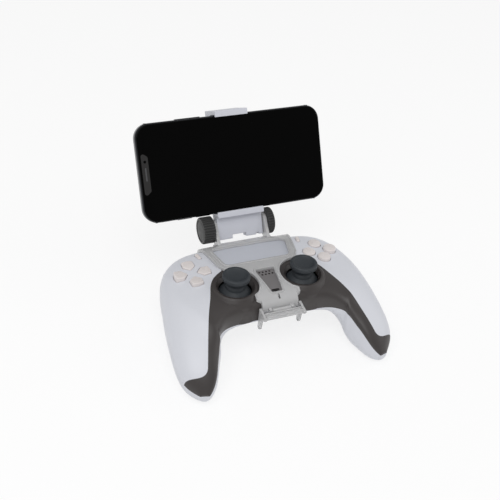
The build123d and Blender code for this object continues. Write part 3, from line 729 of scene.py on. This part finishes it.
class CONTROLLER_OT_small_keys(bpy.types.Operator):
    """Two small round-ended keys beside the touchpad, and the mute key"""

    bl_idname = "controller.small_keys"
    bl_label = "Small keys"

    def execute(self, context):
        foot = -size("key_foot")
        for side, word in SIDES:
            stem = prism(pill_outline(6.4, 2.6), foot, 2.3)
            rounded_where(stem, lambda x, y, z: z > 2, 0.7, 4)
            key = joined([stem, prism(pill_outline(8.0, 4.2), foot - KEY_FLANGE, foot)])
            place, node = at(side * 39.6, 37.5, 0, 90 - side * 12), "small_button_" + word
            settle(key, "small_key_" + word, place, node + "_key", "key", "key_cream", node)
        stem = prism(pill_outline(5.6, 1.5), -6.2, -0.9)
        rounded_where(stem, lambda x, y, z: z > -1, 0.4, 3)
        key = joined([stem, prism(pill_outline(7.0, 2.8), -7.0, -6.2)])
        settle(key, "mute_key", at(0, -11.2), "mute_key", "mute", "mute_dark", "mute_button")
        return {"FINISHED"}


class CONTROLLER_OT_panel(bpy.types.Operator):
    """Grey sheet laid on the dark trim in the frame's slot, with eight speaker holes: its grey is painted sheen of the
    trim
    """

    bl_idname = "controller.panel"
    bl_label = "Speaker panel"

    def execute(self, context):
        across, along = 22, 46
        hole, hole_step = 0.8, 2.6
        bpy.ops.object.select_all(action="DESELECT")
        bpy.ops.mesh.primitive_grid_add(x_subdivisions=across, y_subdivisions=along, size=2)
        panel = bpy.context.object
        for vert in panel.data.vertices:
            u, v = vert.co.x, (vert.co.y + 1) / 2
            y = -14.9 + 25.4 * v
            x = u * (4.5 + 3.6 * v)
            near = [face_height("centre_trim", x + dx, y + dy) for dx in (-1.6, 0, 1.6) for dy in (-1.2, 0, 1.2)]
            vert.co = (x * MM, y * MM, (max(h for h in near if h is not None) + 0.05) * MM)
        apply_modifier(panel, "SMOOTH", {"factor": 0.5, "iterations": 4})
        apply_modifier(panel, "SOLIDIFY", {"thickness": 0.09 * MM, "offset": 1.0})
        cutters = []
        for i in range(4):
            for start, y in ((-4.2, 8.0), (-2.9, 5.4)):
                cutters.append(rod(start + hole_step * i, y, 0, "Z", hole, -6, 6, 20))
        slot = prism(pill_outline(6.1, 2.0), -6, 6)
        slot.location = (0, -11.2 * MM, 0)
        fix(slot)
        combine(panel, cutters + [slot], "DIFFERENCE")
        # A thin grey sheet just above the trim: painted sheen of the trim in the slot
        settle(panel, "speaker_panel", FACE, "controller", "panel", "trim_dark", smooth=40)
        return {"FINISHED"}


class CONTROLLER_OT_triggers(bpy.types.Operator):
    """Two curved triggers with rounded sides"""

    bl_idname = "controller.triggers"
    bl_label = "Triggers"

    def execute(self, context):
        back = curve_through([(46.3, -14.7), (50.3, -19.5), (51.6, -27), (52.6, -33), (53.6, -37.0)], 6)
        tip = curve_through([(53.6, -37.0), (52.7, -39.3), (50.4, -39.0)], 5)
        front = curve_through([(50.4, -39.0), (47.2, -32), (44.0, -25.5), (37.0, -20.9), (32, -20.6), (29.4, -17.5)], 6)
        outline = [(29.4, -17.5), (31.5, -15.0), (36, -14.7)] + back[:-1] + tip[:-1] + front[:-1]
        lever = prism(outline, -8.25, 8.25)
        rounded_where(lever, lambda x, y, z: abs(z) > 8, 1.1, 4)
        bore = rod(33.0, -17.5, 0, "Z", 1.3, -10, 10, 32)
        combine(lever, [bore], "DIFFERENCE")
        for side, word in SIDES:
            place, node = at(side * 53.25) @ SIDEWAYS, "trigger_" + word
            settle(copied(lever), "curved_" + node, place, node + "_lever", "shell", "shell_white", node, smooth=35)
        bpy.data.objects.remove(lever)
        return {"FINISHED"}


# Holder


def frame_bead(path, closed, mirror):
    """A bead along a path, laid on the clear frame's upper face, with its heights evened out."""
    corners = path + path[:1] if closed else curve_through(path, 3)
    points = []
    for a, b in zip(corners, corners[1:]):
        count = max(1, round(math.dist(a, b) / 0.8))
        points += [(a[0] + (b[0] - a[0]) * t, a[1] + (b[1] - a[1]) * t) for t in [k / count for k in range(count)]]
    line = []
    for x, y in points:
        high = face_height("clamp_frame", mirror * x, y, 6.0)
        if high is not None and high > -11:
            line.append(Vector((mirror * x, y, high)))
    for _ in range(3):
        heights = [p.z for p in line]
        for i in range(len(line)) if closed else range(1, len(line) - 1):
            line[i].z = (heights[i - 1] + 2 * heights[i] + heights[(i + 1) % len(line)]) / 4
    return tube([(p.x, p.y, p.z - 0.1) for p in line], holder("bead"), closed)


class CONTROLLER_OT_clear_frame(bpy.types.Operator):
    """Clear frame, with the raised beads along its edges"""

    bl_idname = "controller.clear_frame"
    bl_label = "Clear frame"

    def execute(self, context):
        dress("clear", "clamp_frame")
        dress("steel", "buckle_pin")
        window = soft_outline([(-26.1, 19.0), (26.1, 19.0), (30.7, 41.9), (-30.7, 41.9)], 5.3, 8)
        slot = soft_outline([(-4.9, -15.2), (4.9, -15.2), (8.4, 10.9), (-8.4, 10.9)], 2.0, 6)
        side = [(34.6, 45.0), (33.2, 37.2), (31.9, 29.5), (30.5, 22.2)]
        for i in range(24):
            a = math.radians(86 + 5.8 * i)
            side.append((25.8 + 17.5 * math.cos(a), -0.5 + 17.5 * math.sin(a)))
        side += [(15.6, -14.4), (15.3, -16.4), (13.0, -17.5)]
        paths = ((window, True, 1), (slot, True, 1), (side, False, 1), (side, False, -1))
        bead = joined([frame_bead(*path) for path in paths])
        settle(bead, "frame_beads", FACE, "controller", "clear", "clear_plastic", smooth=60)
        return {"FINISHED"}


class CONTROLLER_OT_buckle(bpy.types.Operator):
    """Clear buckle with two ribs, a hinge barrel and two cheeks that end in rings"""

    bl_idname = "controller.buckle"
    bl_label = "Buckle"

    def execute(self, context):
        plate = block(-14.0, 14.0, -30.6, -25.3, -9.9, -8.5)
        parts = [
            block(-13.9, 13.9, -26.8, -25.6, -9.0, -7.4),
            block(-13.9, 13.9, -30.0, -28.8, -9.0, -7.4),
            block(-6.9, 6.9, -25.6, -23.9, -9.2, -8.0),
        ]
        combine(plate, parts, "UNION")
        rounded(plate, 0.3, 3)
        barrel = rod(0, -23.9, -7.9, "X", 1.3, -6.9, 6.9, 32)
        combine(barrel, [rod(0, -23.9, -7.9, "X", 0.65, -8, 8, 24)], "DIFFERENCE")
        rounded(barrel, 0.15, 2, 50)
        hook = []
        for i in range(13):
            a = math.radians(180 + 180 * i / 12)
            hook.append((-22.55 + 1.85 * math.cos(a), -21.35 + 1.85 * math.sin(a)))
        outline = [(-20.7, -6.4), (-31.0, -8.3), (-31.0, -10.2), (-25.4, -13.5)] + hook
        cheeks = []
        for x in (13.95, -15.85):
            cheek = prism(outline, 0, 1.9)
            combine(cheek, [rod(-22.5, -21.3, 0, "Z", 0.9, -1, 3, 24)], "DIFFERENCE")
            combine(cheek, [rod(-23.9, -7.9, 0, "Z", 0.65, -1, 3, 24)], "DIFFERENCE")
            rounded(cheek, 0.35, 3, 35)
            cheek.matrix_world = Matrix.Translation((x * MM, 0, 0)) @ SIDEWAYS
            cheeks.append(fix(cheek))
        buckle = joined([plate, barrel] + cheeks)
        settle(buckle, "ribbed_buckle", FACE, "buckle_body", "clear", "clear_plastic", "frame_buckle", smooth=35)
        return {"FINISHED"}


class CONTROLLER_OT_cradle(bpy.types.Operator):
    """Cradle with its lower jaw, hinge plate and sleeve"""

    bl_idname = "controller.cradle"
    bl_label = "Cradle"

    def execute(self, context):
        low = -phone("height") / 2
        back = -phone("depth") / 2
        soft = holder("edge")
        lip = block(-18.2, 18.2, low - 3.4, low + 1.2, -back + 0.2, 6.1)
        combine(lip, [block(-18.2, 18.2, low - 3.4, low - 0.2, -6.6, 6.1)], "UNION")
        rounded(lip, soft, 5)
        plate = block(-17.9, 17.9, low - 20.4, low - 3.0, -6.6, 0.6)
        cuts = [block(-6.5, 4.5, low - 21, low - 17.6, -8, 2), block(12.6, 14.6, low - 21, low - 18.8, -8, 2)]
        combine(plate, cuts, "DIFFERENCE")
        combine(plate, [rod(0, -47.1, -2.9, "X", 2.05, -19, 19, 48)], "DIFFERENCE")
        rounded(plate, 0.5, 4, 40)
        sleeve = block(-15, 15, low - 9, 12, -15.6, back - 0.9)
        combine(sleeve, [block(-13.2, 13.2, low + 2, 14, -13.4, back - 2.9)], "DIFFERENCE")
        rounded(sleeve, soft, 4, 40)
        cradle = joined([lip, plate, sleeve])
        settle(cradle, "phone_cradle", HOLD, "cradle_body", "holder", "holder_white", "cradle", smooth=35)
        pad = block(-13.5, 13.5, -25, 10, back - 0.9, back - 0.2)
        rounded(pad, 0.3, 3)
        ribs = [block(-12.8, 12.8, -24 + 3.3 * i, -22.6 + 3.3 * i, back - 0.35, back - 0.14) for i in range(10)]
        pad = joined([pad] + ribs)
        settle(pad, "ribbed_pad", HOLD, "cradle_body", "pad", "pad_rubber", "cradle_pad")
        dress("coil", "jaw_springs")
        return {"FINISHED"}


class CONTROLLER_OT_top_jaw(bpy.types.Operator):
    """Sprung top jaw that hooks over the phone"""

    bl_idname = "controller.top_jaw"
    bl_label = "Top jaw"

    def execute(self, context):
        up = phone("height") / 2
        back = -phone("depth") / 2
        jaw = block(-12.6, 12.6, up + 0.2, up + 3.2, -15.4, 5.9)
        hook = block(-12.6, 12.6, up - 1.1, up + 1, -back + 0.2, 5.9)
        combine(jaw, [hook, block(-12.6, 12.6, 16.5, up + 1, -15.4, back - 2.0)], "UNION")
        rounded(jaw, holder("edge"), 5)
        slide = block(-7.4, 7.4, -12, 17.5, -12.8, back - 3.4)
        rounded(slide, 0.4, 3)
        foot = block(-12.4, 12.4, -14.5, -11.5, -12.8, back - 3.4)
        rounded(foot, 0.4, 3)
        jaw = joined([jaw, slide, foot])
        settle(jaw, "sprung_jaw", HOLD, "jaw_body", "holder", "holder_white", "top_jaw", smooth=35)
        return {"FINISHED"}


class CONTROLLER_OT_knobs(bpy.types.Operator):
    """Two ribbed knobs"""

    bl_idname = "controller.knobs"
    bl_label = "Knobs"

    def execute(self, context):
        radius = holder("knob_radius")
        deep = holder("rib_depth")
        inner = 21.2
        for side, word, outer in ((-1, "left", 30.2), (1, "right", 26.2)):
            profile = [(0, outer - 0.1, 0), (5.6, outer - 0.12, 0), (7.2, outer - 0.24, 0), (7.6, outer - 0.5, 0)]
            profile += [(7.9, outer - 0.5, 0), (8.2, outer - 0.06, 0), (8.6, outer, 0)]
            profile += [(9.1, outer - 0.02, 0.15 * deep), (9.55, outer - 0.22, 0.5 * deep)]
            profile += [(radius - 0.1, outer - 0.55, 0.9 * deep)]
            profile += [(radius, outer - 0.95, deep), (radius, inner + 0.45, deep)]
            profile += [(radius - 0.2, inner + 0.1, 0.8 * deep), (9.0, inner, 0), (2.0, inner, 0)]
            profile += [(2.0, outer - 1.8, 0), (0, outer - 1.8, 0)]
            knob = fluted(profile, bpy.context.scene.holder_sizes.ribs)
            if side < 0:
                knob.scale = (1, 1, -1)
                outwards(fix(knob))
            place = at(0, holder("knob_y"), holder("knob_z")) @ SIDEWAYS
            settle(knob, "ribbed_knob_" + word, place, "knob_" + word + "_body", "knob", "knob_black", "knob_" + word)
        return {"FINISHED"}


# Phone


def phone_plate(inset, low, high):
    """A plate of the phone's outline, set in from its edge, between two heights."""
    w, h = phone("width") / 2 - inset, phone("height") / 2 - inset
    return prism(soft_outline([(-w, -h), (w, -h), (w, h), (-w, h)], phone("corner") - inset, 14), low, high)


class CONTROLLER_OT_phone(bpy.types.Operator):
    """Phone with a metal band, glass on both sides, its keys, camera block and notch"""

    bl_idname = "controller.phone"
    bl_label = "Phone"

    def execute(self, context):
        left, glass = -phone("width") / 2, phone("glass")
        place = HOLD @ Matrix.Translation((phone("shift") * MM, 0, 0))
        back = -phone("depth") / 2
        low, up = -phone("height") / 2, phone("height") / 2
        # Piece, node, start and end from the left, limits in y and z, and half height of the key's recess
        keys = (
            ("mute_switch", "phone_switch", 13, 20, low - 0.3, low + 1.2, -1.5, 0.5, 1.7),
            ("volume_key_one", "phone_key_one", 25, 36, low - 0.5, low + 0.6, -1.0, 1.0, 1.3),
            ("volume_key_two", "phone_key_two", 39, 50, low - 0.5, low + 0.6, -1.0, 1.0, 1.3),
            ("side_key", "phone_side_key", 31, 50, up - 0.6, up + 0.5, -1.0, 1.0, 1.3),
        )
        key_gap = 0.4
        body = phone_plate(0, back + 0.35, -back - 0.35)
        rounded_where(body, lambda x, y, z: z < 0, 1.9, 6)
        rounded_where(body, lambda x, y, z: z > -back - 0.4, 1.9, 6)
        recess = [phone_plate(0.8, -back - glass, -back + 2), phone_plate(0.8, back - 2, back + glass)]
        for _, _, start, end, near, _, _, _, tall in keys:
            rim = (up - 1.2, up + 1) if near > 0 else (low - 1, low + 1.2)
            recess.append(block(left + start - key_gap, left + end + key_gap, *rim, -tall, tall))
        recess.append(block(-left - 8, -left + 1, -4.4, 4.4, -1.4, 1.4))
        for i in range(6):
            for sign in (-1, 1):
                recess.append(rod(0, sign * (9.5 + 2.4 * i), 0, "X", 0.75, -left - 2, -left + 1, 20))
        combine(body, recess, "DIFFERENCE")
        settle(body, "phone_band", place, "cradle_body", "band", "phone_frame", "phone_body", smooth=30)
        seams = []
        for x in (left + 9.0, -left - 9.0):
            for outer in ((low - 0.03, low + 0.6), (up - 0.6, up + 0.03)):
                seams.append(block(x - 0.55, x + 0.55, *outer, back + 1.7, -back - 1.7))
        settle(joined(seams), "antenna_lines", place, "cradle_body", "antenna", "phone_frame")
        front = phone_plate(0.85, -back - glass, -back)
        rounded_where(front, lambda x, y, z: z > -back - 0.1, 0.55, 4)
        settle(front, "screen", place, "cradle_body", "screen", "phone_black_glass", "phone_glass", smooth=30)
        rear = phone_plate(0.85, back, back + glass)
        rounded_where(rear, lambda x, y, z: z < back + 0.1, 0.55, 4)
        settle(rear, "back_glass", place, "cradle_body", "back", "phone_black_glass", "phone_back", smooth=30)
        edge = left + 2.4
        mask = soft_outline([(edge, -16.2), (edge + 5.0, -12.2), (edge + 5.0, 12.2), (edge, 16.2)], 1.6, 6)
        notch = prism(mask, -back - 0.1, -back + 0.02)
        slit = prism(pill_outline(9.5, 1.0), -back, -back + 0.05)
        slit.rotation_euler = (0, 0, math.pi / 2)
        slit.location = ((edge + 2.6) * MM, 0, 0)
        eye = rod(edge + 2.6, 9.0, 0, "Z", 1.0, -back, -back + 0.05, 32)
        settle(notch, "notch_mask", place, "cradle_body", "notch", "phone_black_glass")
        settle(slit, "earpiece_slit", place, "cradle_body", "antenna", "phone_black_glass")
        settle(eye, "front_camera", place, "cradle_body", "screen", "phone_black_glass")
        bump = prism(pill_outline(22, 11, 20), back - 1.4, back)
        bump.location = ((left + 17) * MM, (up - 10) * MM, 0)
        fix(bump)
        rounded_where(bump, lambda x, y, z: z < back - 1.3, 0.5, 3)
        lenses = []
        for x in (left + 11.5, left + 22.5):
            ring = [(0, -1.9), (2.6, -1.9), (2.8, -2.3), (3.9, -2.4), (4.2, -2.1), (4.2, -1.0), (0, -1.0)]
            lens = spun([(r, z + back) for r, z in ring], 48)
            lens.location = (x * MM, (up - 10) * MM, 0)
            lenses.append(lens)
        cameras = joined([bump] + lenses)
        settle(cameras, "camera_block", place, "cradle_body", "back", "phone_black_glass", "phone_cameras")
        for name, node, start, end, y0, y1, z0, z1, _ in keys:
            key = block(left + start, left + end, y0, y1, z0, z1)
            rounded(key, 0.35, 4)
            settle(key, name, place, node + "_body", "band", "phone_frame", node)
        return {"FINISHED"}


# Stage

FLOOR_GLOW = 1.08  # strength of the floor's own white where it is looked at
FLOOR_SHARE = 0.72  # share of that white; the rest is lit card, which keeps the shadow
CAMERA_PLACE = (-231.074, -437.586, 374.542)  # from the face, in mm
CAMERA_TURN = (54.5067, -4.6819, -22.7158)  # degrees
CAMERA_LENS = 63.467


def either(tree, one, other):
    """The larger of two values."""
    return add_node(tree, "ShaderNodeMath", {"operation": "MAXIMUM"}, {0: one, 1: other}).outputs[0]


class CONTROLLER_OT_stage(bpy.types.Operator):
    """White floor, soft lamps and the camera"""

    bl_idname = "controller.stage"
    bl_label = "Stage"

    def execute(self, context):
        scene = context.scene
        settings = scene.stage_settings
        bpy.ops.object.select_all(action="DESELECT")
        bpy.ops.mesh.primitive_plane_add(size=6, location=(0, 0, -0.0002))
        floor = bpy.context.object
        floor.name = "floor"
        material = bpy.data.materials.new("white_card")
        material.use_nodes = True
        tree = material.node_tree
        tree.nodes.clear()
        ray = add_node(tree, "ShaderNodeLightPath").outputs
        seen = either(tree, ray["Is Camera Ray"], either(tree, ray["Is Glossy Ray"], ray["Is Transmission Ray"]))
        share = add_node(tree, "ShaderNodeMath", {"operation": "MULTIPLY"}, {0: seen, 1: FLOOR_SHARE})
        card = add_node(tree, "ShaderNodeBsdfDiffuse", None, {"Color": (*linear("#F4F4F4"), 1)})
        white = add_node(tree, "ShaderNodeEmission", None, {"Color": (1, 1, 1, 1), "Strength": FLOOR_GLOW})
        links = {0: share.outputs[0], 1: card.outputs[0], 2: white.outputs[0]}
        mixed = add_node(tree, "ShaderNodeMixShader", None, links)
        add_node(tree, "ShaderNodeOutputMaterial", None, {"Surface": mixed.outputs[0]})
        floor.data.materials.append(material)

        world = bpy.data.worlds.new("studio")
        scene.world = world
        world.use_nodes = True
        tree = world.node_tree
        tree.nodes.clear()
        ray = add_node(tree, "ShaderNodeLightPath").outputs
        seen = either(tree, ray["Is Camera Ray"], ray["Is Transmission Ray"])
        power = add_node(tree, "ShaderNodeMix", {"data_type": "FLOAT"}, {"Factor": seen, 2: settings.sky, 3: 1.0})
        sky = add_node(tree, "ShaderNodeBackground", None, {"Color": (1, 1, 1, 1), "Strength": power.outputs[0]})
        add_node(tree, "ShaderNodeOutputWorld", None, {"Surface": sky.outputs[0]})

        lamps = (
            ("key_lamp", (-0.35, -0.35, 0.85), settings.key_power, 0.7),
            ("fill_lamp", (0.75, -0.2, 0.45), settings.fill_power, 0.6),
        )
        aim = Vector((0, 0.0, 0.03))
        for name, place, power_w, wide in lamps:
            bpy.ops.object.light_add(type="AREA", location=place)
            lamp = bpy.context.object
            lamp.name = name
            lamp.data.energy = power_w
            lamp.data.size = wide
            lamp.rotation_euler = (aim - Vector(place)).to_track_quat("-Z", "Y").to_euler()

        bpy.ops.object.camera_add()
        camera = bpy.context.object
        camera.data.sensor_width = 36
        camera.data.lens = CAMERA_LENS
        camera.data.clip_start = 0.01
        camera.data.clip_end = 20
        turn = Euler([math.radians(a) for a in CAMERA_TURN], "XYZ").to_matrix().to_4x4()
        camera.matrix_world = at(*CAMERA_PLACE) @ turn
        scene.camera = camera
        scene.view_settings.view_transform = "Standard"
        return {"FINISHED"}


PIECES = (
    CONTROLLER_OT_shells,
    CONTROLLER_OT_sticks,
    CONTROLLER_OT_round_keys,
    CONTROLLER_OT_direction_keys,
    CONTROLLER_OT_small_keys,
    CONTROLLER_OT_panel,
    CONTROLLER_OT_triggers,
    CONTROLLER_OT_clear_frame,
    CONTROLLER_OT_buckle,
    CONTROLLER_OT_cradle,
    CONTROLLER_OT_top_jaw,
    CONTROLLER_OT_knobs,
    CONTROLLER_OT_phone,
    CONTROLLER_OT_stage,
)
GROUPS = (
    ("controller_sizes", ControllerSizes),
    ("holder_sizes", HolderSizes),
    ("phone_sizes", PhoneSizes),
    ("controller_colours", ControllerColours),
    ("stage_settings", StageSettings),
)


class CONTROLLER_PT_pieces(bpy.types.Panel):
    """Lists the pieces with their sizes and colours"""

    bl_idname = "CONTROLLER_PT_pieces"
    bl_label = "Controller"
    bl_space_type = "VIEW_3D"
    bl_region_type = "UI"
    bl_category = "Controller"

    def draw(self, context):
        column = self.layout.column()
        for name, group in GROUPS:
            for key in group.__annotations__:
                column.prop(getattr(context.scene, name), key)
        for piece in PIECES:
            column.operator(piece.bl_idname)


def register():
    for name, group in GROUPS:
        bpy.utils.register_class(group)
        setattr(bpy.types.Scene, name, PointerProperty(type=group))
    for piece in PIECES + (CONTROLLER_PT_pieces,):
        bpy.utils.register_class(piece)


def unregister():
    for piece in (CONTROLLER_PT_pieces,) + PIECES[::-1]:
        bpy.utils.unregister_class(piece)
    for name, group in GROUPS[::-1]:
        delattr(bpy.types.Scene, name)
        bpy.utils.unregister_class(group)


def main():
    """Makes every piece in order."""
    register()
    for piece in PIECES:
        group, name = piece.bl_idname.split(".")
        if getattr(getattr(bpy.ops, group), name)() != {"FINISHED"}:
            raise RuntimeError(piece.bl_idname + " didn't finish")


if __name__ == "__main__":
    main()
